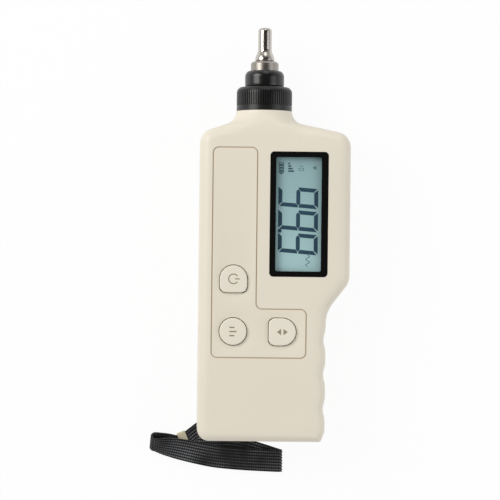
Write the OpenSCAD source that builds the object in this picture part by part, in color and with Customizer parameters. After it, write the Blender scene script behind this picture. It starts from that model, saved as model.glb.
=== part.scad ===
// Handheld vibration meter with a contact probe, lying on its back.
// X is across the meter, Y runs towards the probe tip and Z is up, out of the display.
// Outlines are written with y counted from the bottom end of the case.

/* [Case] */
// Width of the grip
grip_w = 56.8; // [55:0.1:58]
// Width across the display bulge
head_w = 67; // [66:0.5:70]
// Length of the case, from its bottom end to the collar nut
case_l = 145.9; // [145:0.1:150]
// Thickness of the case, back to front
case_t = 29; // [28.6:0.2:31]
// Wall of the sides
side_wall = 2.6; // [2.3:0.1:2.8]
// Wall of the front and of the back
face_wall = 2.5; // [2.3:0.1:2.7]
// Radius of the long front and back edges
edge_r = 5; // [4:0.1:5.3]
// Radius of the bottom left corner, seen from the front
foot_r = 5.5; // [5.4:0.1:7]
// Radius of the top left corner
left_top_r = 7; // [6:0.1:8]
// Radius of the top right corner
right_top_r = 7.2; // [6:0.1:8]
// Height at which the bulge starts
bulge_y = 57.1; // [56:0.1:58]
// Radius where the grip runs into the bulge
bulge_in_r = 14; // [10:0.5:16]
// Radius where the bulge runs into the side
bulge_out_r = 7.6; // [6.5:0.1:9]
// Height of the first finger scoop
scoop_y = 14.3; // [14:0.1:15]
// Pitch of the finger scoops
scoop_pitch = 15.3; // [14.5:0.1:15.6]
// Width of one finger scoop
scoop_w = 11.5; // [9:0.1:13]
// Depth of a finger scoop
scoop_depth = 0.95; // [0.6:0.05:1.2]
// Number of finger scoops
scoops = 3; // [2:1:3]

/* [Front panel] */
// Width of the display bezel
bezel_w = 25.5; // [25:0.1:26]
// Length of the display bezel
bezel_l = 54.8; // [54:0.1:55.5]
// Width of the black border beside the screen
border_w = 2.8; // [2.4:0.1:3.2]
// Width of the black border at the screen's ends
border_l = 2.4; // [2:0.1:3]
// Radius of the keys
key_r = 6; // [5.6:0.1:6.4]
// How far the keys stand out of the front
key_proud = 1; // [0.6:0.1:1.4]
// Travel of a key
key_travel = 0.8; // [0.5:0.1:0.9]
// Gap round a key
key_gap = 0.3; // [0.2:0.05:0.4]
// Width of the line round the keys
line_w = 0.5; // [0.4:0.05:0.8]
// Depth of the line round the keys
line_depth = 0.4; // [0.2:0.05:0.6]

/* [Probe] */
// Radius of the case's neck and of the collar nut
neck_r = 12.3; // [12:0.1:12.8]
// Radius of the curve from the case into its neck
flare_r = 6; // [5:0.1:7]
// Length of the collar nut
nut_l = 10.7; // [10.5:0.1:12]
// Number of ribs round the collar nut
nut_ribs = 72; // [36:1:80]
// Depth of the grooves between the ribs
rib_depth = 0.4; // [0.2:0.05:0.5]
// Pitch of the collar nut's thread
nut_pitch = 1.5; // [1:0.25:2]
// Turns that free the collar nut
nut_turns = 3; // [2:1:3]
// Radius of the black sensor housing
dome_r = 8.7; // [8.5:0.1:8.8]
// Length of the sensor housing in front of the nut
dome_l = 7.3; // [7:0.1:9]
// Radius of the steel collar
collar_r = 6.15; // [6:0.05:6.3]
// Length of the steel collar that shows
collar_l = 4; // [3.5:0.1:5]
// Length of the contact tip in front of the collar
tip_l = 14.7; // [12:0.1:18]
// Radius of the contact tip's rod
tip_r = 3; // [2.7:0.05:3.3]
// Radius of the contact tip's foot
tip_foot_r = 4.3; // [3.9:0.1:4.6]

/* [Power] */
// Width of the battery
battery_w = 26.5; // [26:0.1:26.6]
// Length of the battery's body
battery_l = 46.4; // [45:0.1:46.6]
// Thickness of the battery
battery_t = 17.5; // [17:0.1:17.6]
// Width of the battery door
door_w = 31; // [30.6:0.1:31.4]
// Thickness of the battery door
door_t = 1.7; // [1.5:0.1:1.8]

/* [Strap] */
// Width of the strap's webbing
strap_w = 10; // [9:0.1:10.2]
// Thickness of the strap's webbing
strap_t = 1.1; // [0.9:0.05:1.2]

/* [Hidden] */

// One overrun for every cut, and the clearances
over = 1;
fit = 0.1;
run = 0.05;
slack = 0.2;

// Where the case lies: its bottom end, its sides, the probe's axis and the parting plane
washer_t = 0.4;
total_l = case_l + nut_l + dome_l + collar_l + washer_t + tip_l;
x_l = -head_w / 2;
x_r = head_w / 2;
x_g = x_l + grip_w;
x_a = x_l + grip_w / 2;
half_t = case_t / 2;
z_face_in = case_t - face_wall;

// Outline of the case: the tapered foot, the shoulders and the angle of the bulge
taper_in = 1.8;
taper_l = 4.9;
taper_r = 1.2;
end_share = 0.65;
bulge_angle = 53;
left_slope = 18;
right_slope = 12;
neck_rise = 4.9;
shoulder_w = 13.75;
seam_v = 0.25;
draft = 0.35;
round_steps = 6;
scoop_steps = 6;
y_top = case_l - neck_rise;

// Rim that locks the two halves together
rim_in = 1.3;
rim_h = 1.2;

// Front panel: heights are shares of the case's length, and places across it are shares
// of its width, for the line round the keys, the keys and the display
line_y_shares = [0.255, 0.4015, 0.8862];
line_x_shares = [0.0935, 0.3835, 0.7119];
key_y_shares = [0.3334, 0.4912];
key_x_shares = [0.2345, 0.557];
bezel_share = [0.6575, 0.6868];
line_r = 2.5;
line_ys = [for (t = line_y_shares) case_l * t];
line_xs = [for (t = line_x_shares) x_l + head_w * t];
key_xs = [for (t = key_x_shares) x_l + head_w * t];
measure_at = [key_xs[0], case_l * key_y_shares[1]];
mode_at = [key_xs[0], case_l * key_y_shares[0]];
range_at = [key_xs[1], case_l * key_y_shares[0]];
key_corner_r = 2.6;
key_flange = 1.2;
key_flange_t = 1;
key_edge = 0.5;
dish_in = 1.1;
dish_out = 2.3;
dish_depth = 0.35;
pill_r = 2.2;
bezel_x = x_l + head_w * bezel_share.x;
bezel_y = case_l * bezel_share.y;
view_w = bezel_w - 2 * border_w;
view_l = bezel_l - 2 * border_l;
bezel_r = 1.8;
bezel_t = 0.7;
bezel_low = 0.1;
view_r = 0.8;
view_shift = 0.2;
window_t = 1.1;
window_lip = 1.6;

// Boards and what stands on them, as heights above the back of the meter
board_t = 1.6;
board_drop = 3.4;
z_board = z_face_in - board_drop;
z_board_low = z_board - board_t;
board_in = 9.3;
board_foot_in = 3.8;
board_grip_in = 8.1;
board_head_in = 9.1;
board_y_shares = [0.15, 0.212, 0.226, 0.432, 0.466, 0.9246];
tongue_w = 6.3;
tongue_y0 = 3.2;
glass_over = 0.3;
glass_w = bezel_w + glass_over;
glass_l = bezel_l + 2 * glass_over;
glass_t = 2.2;
light_t = 0.9;
light_over = 0.4;
light_w = view_w + light_over;
light_l = view_l + 2 * light_over;
frame_wall = 1;
frame_ledge = 0.25;
zebra_w = 1.5;
sheet_t = 0.8;
dome_ring_t = 0.9;
web_r = 3.4;

// Screws: four in the case and four in the board
screw_r = 1.3;
screw_head_r = 2.3;
screw_head_t = 1.8;
screw_l = 16;
boss_r = 2.9;
boss_foot_r = 3.5;
boss_foot_h = 7.5;
sink_r = 2.6;
sink_depth = 5.6;
sink_floor = 2.4;
post_r = 2.3;
post_screw_r = 1;
post_head_r = 1.7;
post_head_t = 1.3;
post_screw_l = 3.6;
post_hole_l = 4.2;
drive_r = 0.9;
drive_depth = 0.9;
left_boss_in = 5.3;
right_boss_in = 5.1;
top_boss_in = 6.1;
top_boss_down = 9.1;
boss_y_shares = [0.158, 0.255, 0.874];
case_bosses = [
    [x_l + left_boss_in, case_l * boss_y_shares[0]],
    [x_g - right_boss_in, case_l * boss_y_shares[1]],
    [x_l + left_boss_in, case_l * boss_y_shares[2]],
    [x_r - top_boss_in, y_top - top_boss_down]
];
x_board = x_l + board_in;
post_in = 2.3;
post_far_in = 9.8;
post_head_in = 12;
post_y_shares = [0.185, 0.863, 0.906];
board_posts = [
    [x_board + post_in, case_l * post_y_shares[0]],
    [x_g - post_far_in, case_l * post_y_shares[0]],
    [x_board + post_in, case_l * post_y_shares[1]],
    [x_r - post_head_in, case_l * post_y_shares[2]]
];

// Battery bay and its door
bay_shift = 1.25;
bay_x = x_a + bay_shift;
bay_side = 0.55;
bay_wall = 1.3;
bay_end = 0.3;
bay_y0 = 5.4;
hinge_r = 1.3;
trunnion_r = 0.7;
trunnion_l = 1.3;
door_sunk = 0.1;
door_y0 = 5.7;
door_gap = 0.15;
pad_t = 0.8;
pad_in = 4;
pad_gap = 0.15;
catch_w = 12;
catch_t = 1;
recess_r = 7;
recess_depth = 0.7;
grip_line = 0.6;
roof_t = 0.8;
z_door = door_sunk + door_t;
z_battery = z_door + pad_t + pad_gap;
z_roof = z_battery + battery_t + bay_end;
bay_w = battery_w + 2 * bay_side;
battery_end = 1.6;
terminal_r = 3;
terminal_l = 2.1;
terminal_gap = 12.7;
battery_round = 2;
snap_t = 2.6;
snap_w = 24;
snap_h = 12;
hinge_room = 1.7;
y_battery = bay_y0 + battery_end;
y_snap = y_battery + battery_l + slack;
hinge_y = y_snap + terminal_l + snap_t + hinge_room;

// Strap bar: its notch is cut in the bottom left corner, along the strap's way out
strap_angle = 218;
strap_mouth = [3.1, 2.8];
strap_mouth_at = [x_l + strap_mouth.x, strap_mouth.y];
bar_r = 1;
bar_in = 7.3;
bar_seat = 1.1;
eye_gap = 0.15;
eye_r = bar_r + eye_gap + strap_t;
z_bar = eye_r + fit;
eye_l = 4.3;
notch_side = 0.7;
notch_h = 5.2;
notch_wall = 1.4;

// Probe: what lies along its axis, from the case's neck to the tip
lip_t = 0.9;
slip_t = 0.6;
flange_t = 1.3;
seal_t = 0.8;
spigot_r = 10;
bore_r = 8.2;
thread_gap = 0.2;
spigot_l = nut_l - lip_t - slip_t - flange_t - seal_t - 3 * run;
y_spigot = case_l + spigot_l;
y_flange = y_spigot + seal_t;
y_slip = y_flange + flange_t + run;
y_nut = case_l + nut_l;
y_dome = y_nut + dome_l;
y_collar = y_dome + collar_l;
y_tip = y_collar + washer_t;
flange_r = 9.8;
skirt_l = 5;
skirt_r = bore_r - fit;
cavity_r = 7.5;
dome_end_r = 6.5;
dome_end_l = 2.7;
dome_waist_r = 8.05;
dome_waist_l = 1.3;
neck_in = 5.25;
shoulder_r = 10.2;
shoulder_l = 2.7;
band_l = 2.2;
band_line = 0.4;
base_r = 5.6;
base_flange_r = 7.3;
base_flange_t = 1.9;
isolation_t = 0.8;
housing_end_t = 4.6;
y_inside = y_dome - housing_end_t;
y_base_flange = y_inside - isolation_t - base_flange_t;
can_wall = 0.6;
can_l = 14.6;
can_end_t = 0.8;
cable_r = 0.9;
cable_hole_r = 1.2;
stud_r = 1.5;
stud_l = 10.6;
ring_t = 1.4;
ring_r = 4.6;
ring_gap = 0.1;
mass_r = 5.2;
mass_l = 4.9;
preload_r = 2.9;
preload_l = 2.1;
tip_stud_r = 2.5;
tip_stud_l = 6;
tip_hole_l = 6.6;
washer_r = 3.9;
tip_foot_l = 0.7;
tip_cone_l = 4.4;
tip_round = 1.5;
collar_round = 0.8;

// Jack at the bottom end, below the board's tongue
jack_side = 6.8;
jack_x = x_g - jack_side;
jack_w = 6;
jack_l = 11;
jack_h = 4.9;
jack_nose_r = 2.4;
jack_nose_l = 1.9;
jack_bore_r = 1.8;
jack_bore_l = 11;
jack_in = 2.2;
z_jack = z_board_low - jack_h / 2;

// Small maths
function unit(v) = v / norm(v);
function smooth_share(t) = (1 - cos(180 * t)) / 2;
function between(a, b, t) = a + (b - a) * t;

// A point of the outline is [x, y, inward x, inward y]
function arc_run(c, r, a0, a1, n, s = 1) =
    [for (i = [0:n]) let (a = between(a0, a1, i / n))
        [c.x + r * cos(a), c.y + r * sin(a), -s * cos(a), -s * sin(a)]];
function mitre(a1, a2) =
    let (n1 = [cos(a1), sin(a1)], n2 = [cos(a2), sin(a2)]) (n1 + n2) / (1 + n1 * n2);
function soft_corner(p, a1, a2, r, n) =
    let (m = mitre(a1, a2))
    [for (i = [0:n]) let (a = between(a1, a2, i / n))
        [p.x + r * (m.x - cos(a)), p.y + r * (m.y - sin(a)), m.x, m.y]];
function flattened(run_points) = [for (p = run_points) [p.x, p.y, p[2], p[3] * end_share]];

// Right side, from the bottom end up: tapered foot, finger scoops, bulge and top corner
taper_angle = atan(taper_in / taper_l);
foot_steps = 4;
top_steps = 6;
right_foot = flattened(concat(
    soft_corner([x_g - taper_in, 0], 90, 180 - taper_angle, taper_r, foot_steps),
    soft_corner([x_g, taper_l], 180 - taper_angle, 180, taper_r, foot_steps)));
function scoop(y0) = [
    for (j = [0:scoop_steps])
        let (
            a = 360 * (j / scoop_steps - 1 / 2),
            slope = scoop_depth * PI / scoop_w * sin(a),
            inward = unit([-1, slope])
        )
        [x_g - scoop_depth * (1 + cos(a)) / 2, y0 + scoop_w * a / 360, inward.x, inward.y]
];
half_turn = (90 - bulge_angle) / 2;
bulge_top_y = bulge_y + (x_r - x_g) * tan(bulge_angle);
right_middle = concat(
    [for (s = [0:scoops - 1]) each scoop(scoop_y + s * scoop_pitch)],
    arc_run([x_g + bulge_in_r, bulge_y - bulge_in_r * tan(half_turn)], bulge_in_r,
        180, 180 - 2 * half_turn, 5, -1),
    arc_run([x_r - bulge_out_r, bulge_top_y + bulge_out_r * tan(half_turn)], bulge_out_r,
        -2 * half_turn, 0, 4));
// Height of a top corner's centre, so that its arc meets the sloping shoulder
function corner_y(x, r, vx, slope) = y_top - (r + abs(vx - x) * sin(slope)) / cos(slope);
right_top = concat(
    arc_run([x_r - right_top_r, corner_y(x_r - right_top_r, right_top_r,
        x_a + shoulder_w, right_slope)], right_top_r, 0, 90 - right_slope, top_steps),
    [concat([x_a + shoulder_w, y_top], mitre(270 - right_slope, 270))]);
left_foot = flattened(arc_run([x_l + foot_r, foot_r], foot_r, 270, 180, 2 * foot_steps + 1));
left_middle = [for (p = right_middle) [x_l, p.y, 1, 0]];
left_top = concat(
    arc_run([x_l + left_top_r, corner_y(x_l + left_top_r, left_top_r,
        x_a - shoulder_w, left_slope)], left_top_r, 180, 90 + left_slope, top_steps),
    [concat([x_a - shoulder_w, y_top], mitre(270 + left_slope, 270))]);
right_side = concat(right_foot, right_middle, right_top);
left_side = concat(left_foot, left_middle, left_top);
side_count = len(right_side);

function reversed(v) = [for (i = [len(v) - 1:-1:0]) v[i]];
// The outline moved inward by d, anticlockwise: up the right side and down the left
function outline(d) = [for (p = concat(right_side, reversed(left_side)))
    [p.x + d * p[2], p.y + d * p[3]]];

// Half of the case: outlines stacked from the parting plane to the rounded face
half_levels = concat(
    [[0, seam_v], [seam_v, 0]],
    [for (i = [0:round_steps]) let (a = 90 * i / round_steps)
        [half_t - edge_r + edge_r * sin(a), draft + edge_r * (1 - cos(a))]]);

module half_body() {
    n = 2 * side_count;
    top = (len(half_levels) - 1) * n;
    points = [for (level = half_levels) each [for (p = outline(level[1])) [p.x, p.y, level[0]]]];
    sides = [
        for (k = [0:len(half_levels) - 2])
            for (i = [0:n - 1])
                let (a = k * n + i, b = k * n + (i + 1) % n)
                each [[a, a + n, b + n], [a, b + n, b]]
    ];
    // Left and right points pair up, so each flat face is a strip of quads
    caps = [
        for (i = [0:side_count - 2])
            let (r0 = i, r1 = i + 1, l0 = n - 1 - i, l1 = n - 2 - i)
            each [
                [top + l0, top + l1, top + r1], [top + l0, top + r1, top + r0],
                [l0, r1, l1], [l0, r0, r1]
            ]
    ];
    polyhedron(points = points, faces = concat(sides, caps), convexity = 8);
}

// Places: the case's bottom end, and the probe's axis with local z along y
module at_case() { translate([0, -total_l / 2, 0]) children(); }
module on_axis() { translate([x_a, 0, half_t]) rotate([-90, 0, 0]) children(); }
module front_of_parting() {
    intersection() {
        children();
        translate([-head_w, -over, half_t]) cube([2 * head_w, total_l, half_t]);
    }
}
module back_of_parting() {
    intersection() {
        children();
        translate([-head_w, -over, 0]) cube([2 * head_w, total_l, half_t]);
    }
}

// A flat ring or pipe from y0 to y1 on the probe's axis
module tube_on_axis(r1, r0, y0, y1) {
    on_axis() translate([0, 0, y0]) difference() {
        cylinder(h = y1 - y0, r = r1);
        if (r0 > 0) translate([0, 0, -over]) cylinder(h = y1 - y0 + 2 * over, r = r0);
    }
}

// Neck of the case, with its curve out of the shoulders and the spigot under the nut
module neck() {
    on_axis() {
        intersection() {
            rotate_extrude() difference() {
                translate([0, y_top - neck_in]) square([neck_r + flare_r, case_l - y_top + neck_in]);
                translate([neck_r + flare_r, case_l]) circle(flare_r);
            }
            translate([-head_w / 2, -half_t, 0]) cube([head_w, case_t, total_l]);
        }
        translate([0, 0, case_l - over]) cylinder(h = spigot_l + over, r = spigot_r);
    }
}
module neck_bore() {
    on_axis() translate([0, 0, y_top - neck_in - over])
        cylinder(h = total_l, r = bore_r);
}

// Space inside one half, from the parting plane to the inside of its face
module half_cavity(depth) {
    translate([0, 0, -over]) linear_extrude(depth + over) polygon(outline(side_wall));
}

// A rectangle with round corners, centred
module round_rect(w, l, r) {
    square([w, l - 2 * r], center = true);
    square([w - 2 * r, l], center = true);
    for (x = [-1, 1], y = [-1, 1])
        translate([x * (w / 2 - r), y * (l / 2 - r)]) circle(r);
}

// Keys: a round one, and one that is round at the top and squared at the bottom
module key_outline(kind, grow) {
    r = key_r + grow;
    c = key_corner_r + grow;
    if (kind == "round") circle(r);
    else rotate(kind == "right" ? -90 : 0) {
        circle(r);
        translate([-r, c - r]) square([2 * r, r - c]);
        translate([c - r, -r]) square([2 * (r - c), r]);
        for (x = [-1, 1]) translate([x * (r - c), c - r]) circle(c);
    }
}
module keys_2d(grow) {
    translate(measure_at) key_outline("top", grow);
    translate(mode_at) key_outline("round", grow);
    translate(range_at) key_outline("right", grow);
}

// The line round the keys is an L, drawn d inside its middle
module line_area(d) {
    x0 = line_xs[0] + d;
    x1 = line_xs[1] - d;
    x2 = line_xs[2] - d;
    y0 = line_ys[0] + d;
    y1 = line_ys[1] - d;
    y2 = line_ys[2] - d;
    r = line_r - d;
    inner_r = line_r + d;
    translate([(x0 + x1) / 2, (y0 + y2) / 2]) round_rect(x1 - x0, y2 - y0, r);
    translate([(x0 + x2) / 2, (y0 + y1) / 2]) round_rect(x2 - x0, y1 - y0, r);
    difference() {
        translate([x1 - over, y1 - over]) square([inner_r + over, inner_r + over]);
        translate([x1 + inner_r, y1 + inner_r]) circle(inner_r);
    }
}

module post_holes(r) { for (p = board_posts) translate(p) circle(r); }
module boss_circles(r) { for (p = case_bosses) translate(p) circle(r); }

// Front half: shell, neck, seats for the window and the keys, bosses and board posts
module front_case() {
    color("#ebe4d6") at_case() difference() {
        union() {
            translate([0, 0, half_t]) difference() {
                half_body();
                difference() {
                    half_cavity(half_t - face_wall);
                    translate([0, 0, fit]) linear_extrude(half_t) boss_circles(boss_r);
                    translate([0, 0, z_board - half_t]) linear_extrude(half_t) post_holes(post_r);
                }
                // Rebate for the back half's rim
                translate([0, 0, -over]) linear_extrude(rim_h + fit + over) difference() {
                    polygon(outline(rim_in - fit));
                    polygon(outline(side_wall + over));
                    translate([-head_w, y_top - neck_in]) square([2 * head_w, total_l]);
                    boss_circles(boss_r);
                }
            }
            front_of_parting() neck();
        }
        neck_bore();
        // Seat of the bezel and the window, and the opening to the screen
        translate([bezel_x, bezel_y, 0]) {
            translate([0, 0, case_t - bezel_low - bezel_t - window_t - fit])
                linear_extrude(case_t) round_rect(bezel_w + fit, bezel_l + fit, bezel_r);
            linear_extrude(case_t)
                round_rect(bezel_w - 2 * window_lip, bezel_l - 2 * window_lip, bezel_r);
        }
        // Key holes, each in a shallow dish
        linear_extrude(case_t + over) keys_2d(key_gap);
        for (p = [measure_at, mode_at, range_at])
            translate([p.x, p.y, case_t - dish_depth])
                cylinder(h = dish_depth * 2, r1 = key_r + dish_in, r2 = key_r + 2 * dish_out - dish_in);
        translate([0, 0, case_t - line_depth]) linear_extrude(case_t) difference() {
            line_area(-line_w / 2);
            line_area(line_w / 2);
        }
        translate([0, 0, z_board_low]) linear_extrude(post_hole_l) post_holes(post_screw_r + run);
        linear_extrude(sink_floor + sink_depth + screw_l) boss_circles(screw_r + run);
        // Mouth of the jack
        translate([jack_x, -over, z_jack]) rotate([-90, 0, 0])
            cylinder(h = side_wall + 2 * over, r = jack_nose_r + slack);
    }
}

// The strap's frame: x along its way out of the case, y across it
module along_strap() { translate(strap_mouth_at) rotate(strap_angle) children(); }

// What stands inside the back half: screw bosses, the strap notch's walls, the bay
module rear_inside() {
    linear_extrude(half_t) boss_circles(boss_r);
    linear_extrude(boss_foot_h) boss_circles(boss_foot_r);
    along_strap() translate([-bar_in - eye_r - notch_wall - slack, 0, 0])
        translate([0, -strap_w / 2 - notch_side - notch_wall, 0])
            cube([2 * bar_in, strap_w + 2 * (notch_side + notch_wall), notch_h + notch_wall]);
}
module bay_box(grow, z0, z1) {
    x0 = bay_x - bay_w / 2 - grow;
    y1 = hinge_y + hinge_r - door_gap + grow;
    translate([x0, bay_y0 - grow, z0]) cube([bay_w + 2 * grow, y1 - bay_y0 + grow, z1 - z0]);
}
module door_outline(gap) {
    x0 = bay_x - door_w / 2 - gap;
    y0 = door_y0 - gap;
    translate([x0, y0]) square([door_w + 2 * gap, hinge_y + hinge_r + 2 * gap - door_y0]);
}

// Back half: shell, rim, neck, battery bay with its hinge holes, and the strap's notch
module rear_case() {
    color("#e8e0d1") at_case() difference() {
        union() {
            translate([0, 0, half_t]) mirror([0, 0, 1]) difference() {
                half_body();
                translate([0, 0, half_t]) mirror([0, 0, 1]) difference() {
                    translate([0, 0, half_t]) mirror([0, 0, 1]) half_cavity(half_t - face_wall);
                    rear_inside();
                }
            }
            // Rim that reaches into the front half
            translate([0, 0, half_t - over]) linear_extrude(rim_h + over) difference() {
                polygon(outline(rim_in));
                polygon(outline(side_wall));
                translate([-head_w, y_top - neck_in - fit]) square([2 * head_w, total_l]);
                boss_circles(boss_r + fit);
            }
            back_of_parting() neck();
            difference() {
                bay_box(bay_wall, face_wall - over, z_roof + roof_t);
                bay_box(0, 0, z_roof);
            }
        }
        neck_bore();
        bay_box(-fit, -over, z_roof);
        // Seat of the door, deeper round its hinge
        translate([0, 0, -over]) linear_extrude(z_door + door_gap + over) door_outline(door_gap);
        translate([bay_x - door_w / 2 - door_gap, hinge_y - hinge_r - door_gap, -over])
            cube([door_w + 2 * door_gap, 2 * (hinge_r + door_gap),
                door_sunk + 2 * hinge_r + door_gap + over]);
        translate([bay_x, hinge_y, door_sunk + hinge_r]) rotate([0, 90, 0])
            cylinder(h = door_w + 2 * trunnion_l + 2 * fit, r = trunnion_r + run, center = true);
        // Way for the battery leads
        translate([bay_x + lead_x, hinge_y, z_leads + lead_hole_rise]) rotate([-90, 0, 0])
            cylinder(h = 3 * bay_wall + over, r = lead_hole_r);
        linear_extrude(case_t) boss_circles(screw_r + slack);
        translate([0, 0, -over]) linear_extrude(sink_depth + over) boss_circles(sink_r);
        // Notch for the strap, open at the corner, and the seats of its bar
        along_strap() {
            translate([-bar_in - eye_r - slack, -strap_w / 2 - notch_side, -over])
                cube([4 * bar_in, strap_w + 2 * notch_side, notch_h + over]);
            translate([-bar_in, 0, z_bar]) rotate([90, 0, 0])
                cylinder(h = strap_w + 2 * (notch_side + bar_seat), r = bar_r, center = true);
        }
    }
}

module battery_door() {
    color("#e8e0d1") at_case() difference() {
        union() {
            translate([bay_x - door_w / 2, door_y0, door_sunk])
                cube([door_w, hinge_y - door_y0, door_t]);
            translate([bay_x, hinge_y, door_sunk + hinge_r]) rotate([0, 90, 0]) {
                cylinder(h = door_w, r = hinge_r, center = true);
                cylinder(h = door_w + 2 * trunnion_l, r = trunnion_r, center = true);
            }
            // Springy tongue that grips the end of the bay
            translate([bay_x - catch_w / 2, door_y0, door_sunk])
                cube([catch_w, catch_t, z_battery - door_sunk]);
        }
        // Thumb recess and three grip lines
        translate([bay_x, door_y0 + recess_r, door_sunk - recess_r + recess_depth])
            sphere(recess_r);
        for (i = [1:3])
            translate([bay_x - catch_w / 2, door_y0 + recess_r + (3 * i + 2) * grip_line,
                door_sunk - over]) cube([catch_w, grip_line, over + grip_line / 2]);
    }
}

module door_pad() {
    color("#3a3a3c") at_case()
        translate([bay_x - battery_w / 2 + pad_in, y_battery + pad_in, z_door])
            cube([battery_w - 2 * pad_in, battery_l - 2 * pad_in, pad_t]);
}

module display_window() {
    color("#dfe8ea", 0.35) at_case()
        translate([bezel_x, bezel_y, case_t - bezel_low - bezel_t - window_t])
            linear_extrude(window_t) round_rect(bezel_w - fit, bezel_l - fit, bezel_r);
}

module window_bezel() {
    color("#161719") at_case() translate([bezel_x, bezel_y, case_t - bezel_low - bezel_t])
        difference() {
            linear_extrude(bezel_t) round_rect(bezel_w - fit, bezel_l - fit, bezel_r);
            translate([-view_shift, 0, -over])
                linear_extrude(bezel_t + 2 * over) round_rect(view_w, view_l, view_r);
        }
}

// A key: flange under the case's front, and a cap with a softened edge
key_shares = [[0, 1], [0.3, 0.3], [1, 0]];
module key_cap(kind) {
    z_flange = z_face_in - run - key_flange_t;
    z_cap = case_t + key_proud;
    translate([0, 0, z_flange]) linear_extrude(key_flange_t) key_outline(kind, key_flange);
    translate([0, 0, z_flange]) hull() for (e = key_shares)
        linear_extrude(z_cap - z_flange - e[1] * key_edge) key_outline(kind, -e[0] * key_edge);
}
module measure_button() { color("#ece6d9") at_case() translate(measure_at) key_cap("top"); }
module mode_button() { color("#ece6d9") at_case() translate(mode_at) key_cap("round"); }
module range_button() { color("#ece6d9") at_case() translate(range_at) key_cap("right"); }

// Conductive pill under a key, which bridges the board's pads at the end of its travel
module pill(at) {
    z0 = z_board + key_travel + fit;
    color("#2b2b2d") at_case() translate([at.x, at.y, z0])
        cylinder(h = z_face_in - run - key_flange_t - z0, r = pill_r);
}
module measure_pill() { pill(measure_at); }
module mode_pill() { pill(mode_at); }
module range_pill() { pill(range_at); }

// Rubber sheet on the board, with a ring under each key
module keypad_membrane() {
    reach = key_r + key_flange;
    ring_top = z_face_in - run - key_flange_t - key_travel - fit;
    color("#8f9294") at_case() difference() {
        union() {
            translate([0, 0, z_board]) linear_extrude(sheet_t) {
                translate([measure_at.x - reach, mode_at.y - reach])
                    square([2 * reach, measure_at.y - mode_at.y + 2 * reach]);
                translate([measure_at.x, mode_at.y - reach])
                    square([range_at.x - measure_at.x + reach, 2 * reach]);
            }
            for (p = [measure_at, mode_at, range_at])
                translate([p.x, p.y, z_board]) cylinder(h = ring_top - z_board, r = web_r + dome_ring_t);
        }
        for (p = [measure_at, mode_at, range_at])
            translate([p.x, p.y, z_board - over]) cylinder(h = half_t, r = web_r);
    }
}

// Circuit board: narrow over the battery, wide behind the display, with the jack's tongue
module main_board() {
    x0 = x_board;
    x1 = x_g - board_foot_in;
    x2 = x_g - board_grip_in;
    x3 = x_r - board_head_in;
    y = [for (t = board_y_shares) case_l * t];
    color("#1f6b45") at_case() translate([0, 0, z_board_low]) linear_extrude(board_t) difference() {
        polygon([
            [x0, y[0]], [x1 - tongue_w, y[0]], [x1 - tongue_w, tongue_y0], [x1, tongue_y0],
            [x1, y[1]], [x2, y[2]], [x2, y[3]], [x3, y[4]], [x3, y[5]], [x0, y[5]]
        ]);
        post_holes(post_screw_r + slack);
    }
}

module lcd_panel() {
    color("#9fb6bb") at_case() translate([bezel_x, bezel_y, z_board + light_t + run])
        linear_extrude(glass_t) round_rect(glass_w, glass_l, view_r);
}
module lcd_frame() {
    h = light_t + glass_t + run + frame_ledge;
    color("#d9dadb") at_case() translate([bezel_x, bezel_y, z_board]) difference() {
        linear_extrude(h) round_rect(glass_w + 2 * (fit + frame_wall),
            glass_l + 2 * (fit + frame_wall), frame_wall);
        translate([0, 0, -over]) linear_extrude(h + 2 * over)
            round_rect(glass_w + 2 * fit, glass_l + 2 * fit, view_r);
    }
}
module backlight() {
    color("#f2f4f2") at_case() translate([bezel_x, bezel_y, z_board])
        linear_extrude(light_t) round_rect(light_w, light_l, view_r);
}
module zebra_strips() {
    color("#4a4d50") at_case() for (s = [-1, 1])
        translate([bezel_x + s * (glass_w - zebra_w) / 2 - zebra_w / 2,
            bezel_y - light_l / 2, z_board])
            cube([zebra_w, light_l, light_t + run]);
}

// Parts under the board
chip_t = 1.5;
chip_w = 10;
chip_shares = [[-1, -1.6, 1, 1], [0.3, -1.2, 0.6, 0.5], [-0.9, 0.4, 0.5, 0.6], [0.2, 1.4, 0.5, 0.6]];
module integrated_circuits() {
    color("#232427") at_case() for (t = chip_shares)
        translate([bezel_x + t[0] * chip_w, bezel_y + t[1] * chip_w, z_board_low - chip_t])
            cube([t[2] * chip_w, t[3] * chip_w, chip_t]);
}
can_cap_r = 2.5;
can_cap_h = 5.5;
cap_y_shares = [0.52, 0.67, 0.81];
module board_capacitors() {
    color("#5a6470") at_case() for (t = cap_y_shares)
        translate([x_board + can_cap_r * 2, case_l * t, z_board_low - can_cap_h])
            cylinder(h = can_cap_h, r = can_cap_r);
}
trimmer_w = 6.5;
trimmer_h = 5;
trimmer_shares = [[0.7, -4], [0.7, 0.7]];
module calibration_trimmers() {
    color("#2f5fa8") at_case() for (t = trimmer_shares)
        translate([bezel_x + t.x * trimmer_w, bezel_y + t.y * trimmer_w, z_board_low - trimmer_h])
            difference() {
                cube([trimmer_w, trimmer_w, trimmer_h]);
                translate([trimmer_w / 2, trimmer_w / 2, -over])
                    cylinder(h = over + trimmer_h / 4, r = trimmer_w / 4);
            }
}

module output_jack() {
    color("#202124") at_case() difference() {
        union() {
            translate([jack_x - jack_w / 2, jack_in, z_board_low - jack_h])
                cube([jack_w, jack_l, jack_h]);
            translate([jack_x, jack_in - jack_nose_l, z_jack]) rotate([-90, 0, 0])
                cylinder(h = jack_nose_l + over, r = jack_nose_r);
        }
        translate([jack_x, jack_in - jack_nose_l - over, z_jack]) rotate([-90, 0, 0])
            cylinder(h = jack_bore_l + over, r = jack_bore_r);
    }
}

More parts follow.
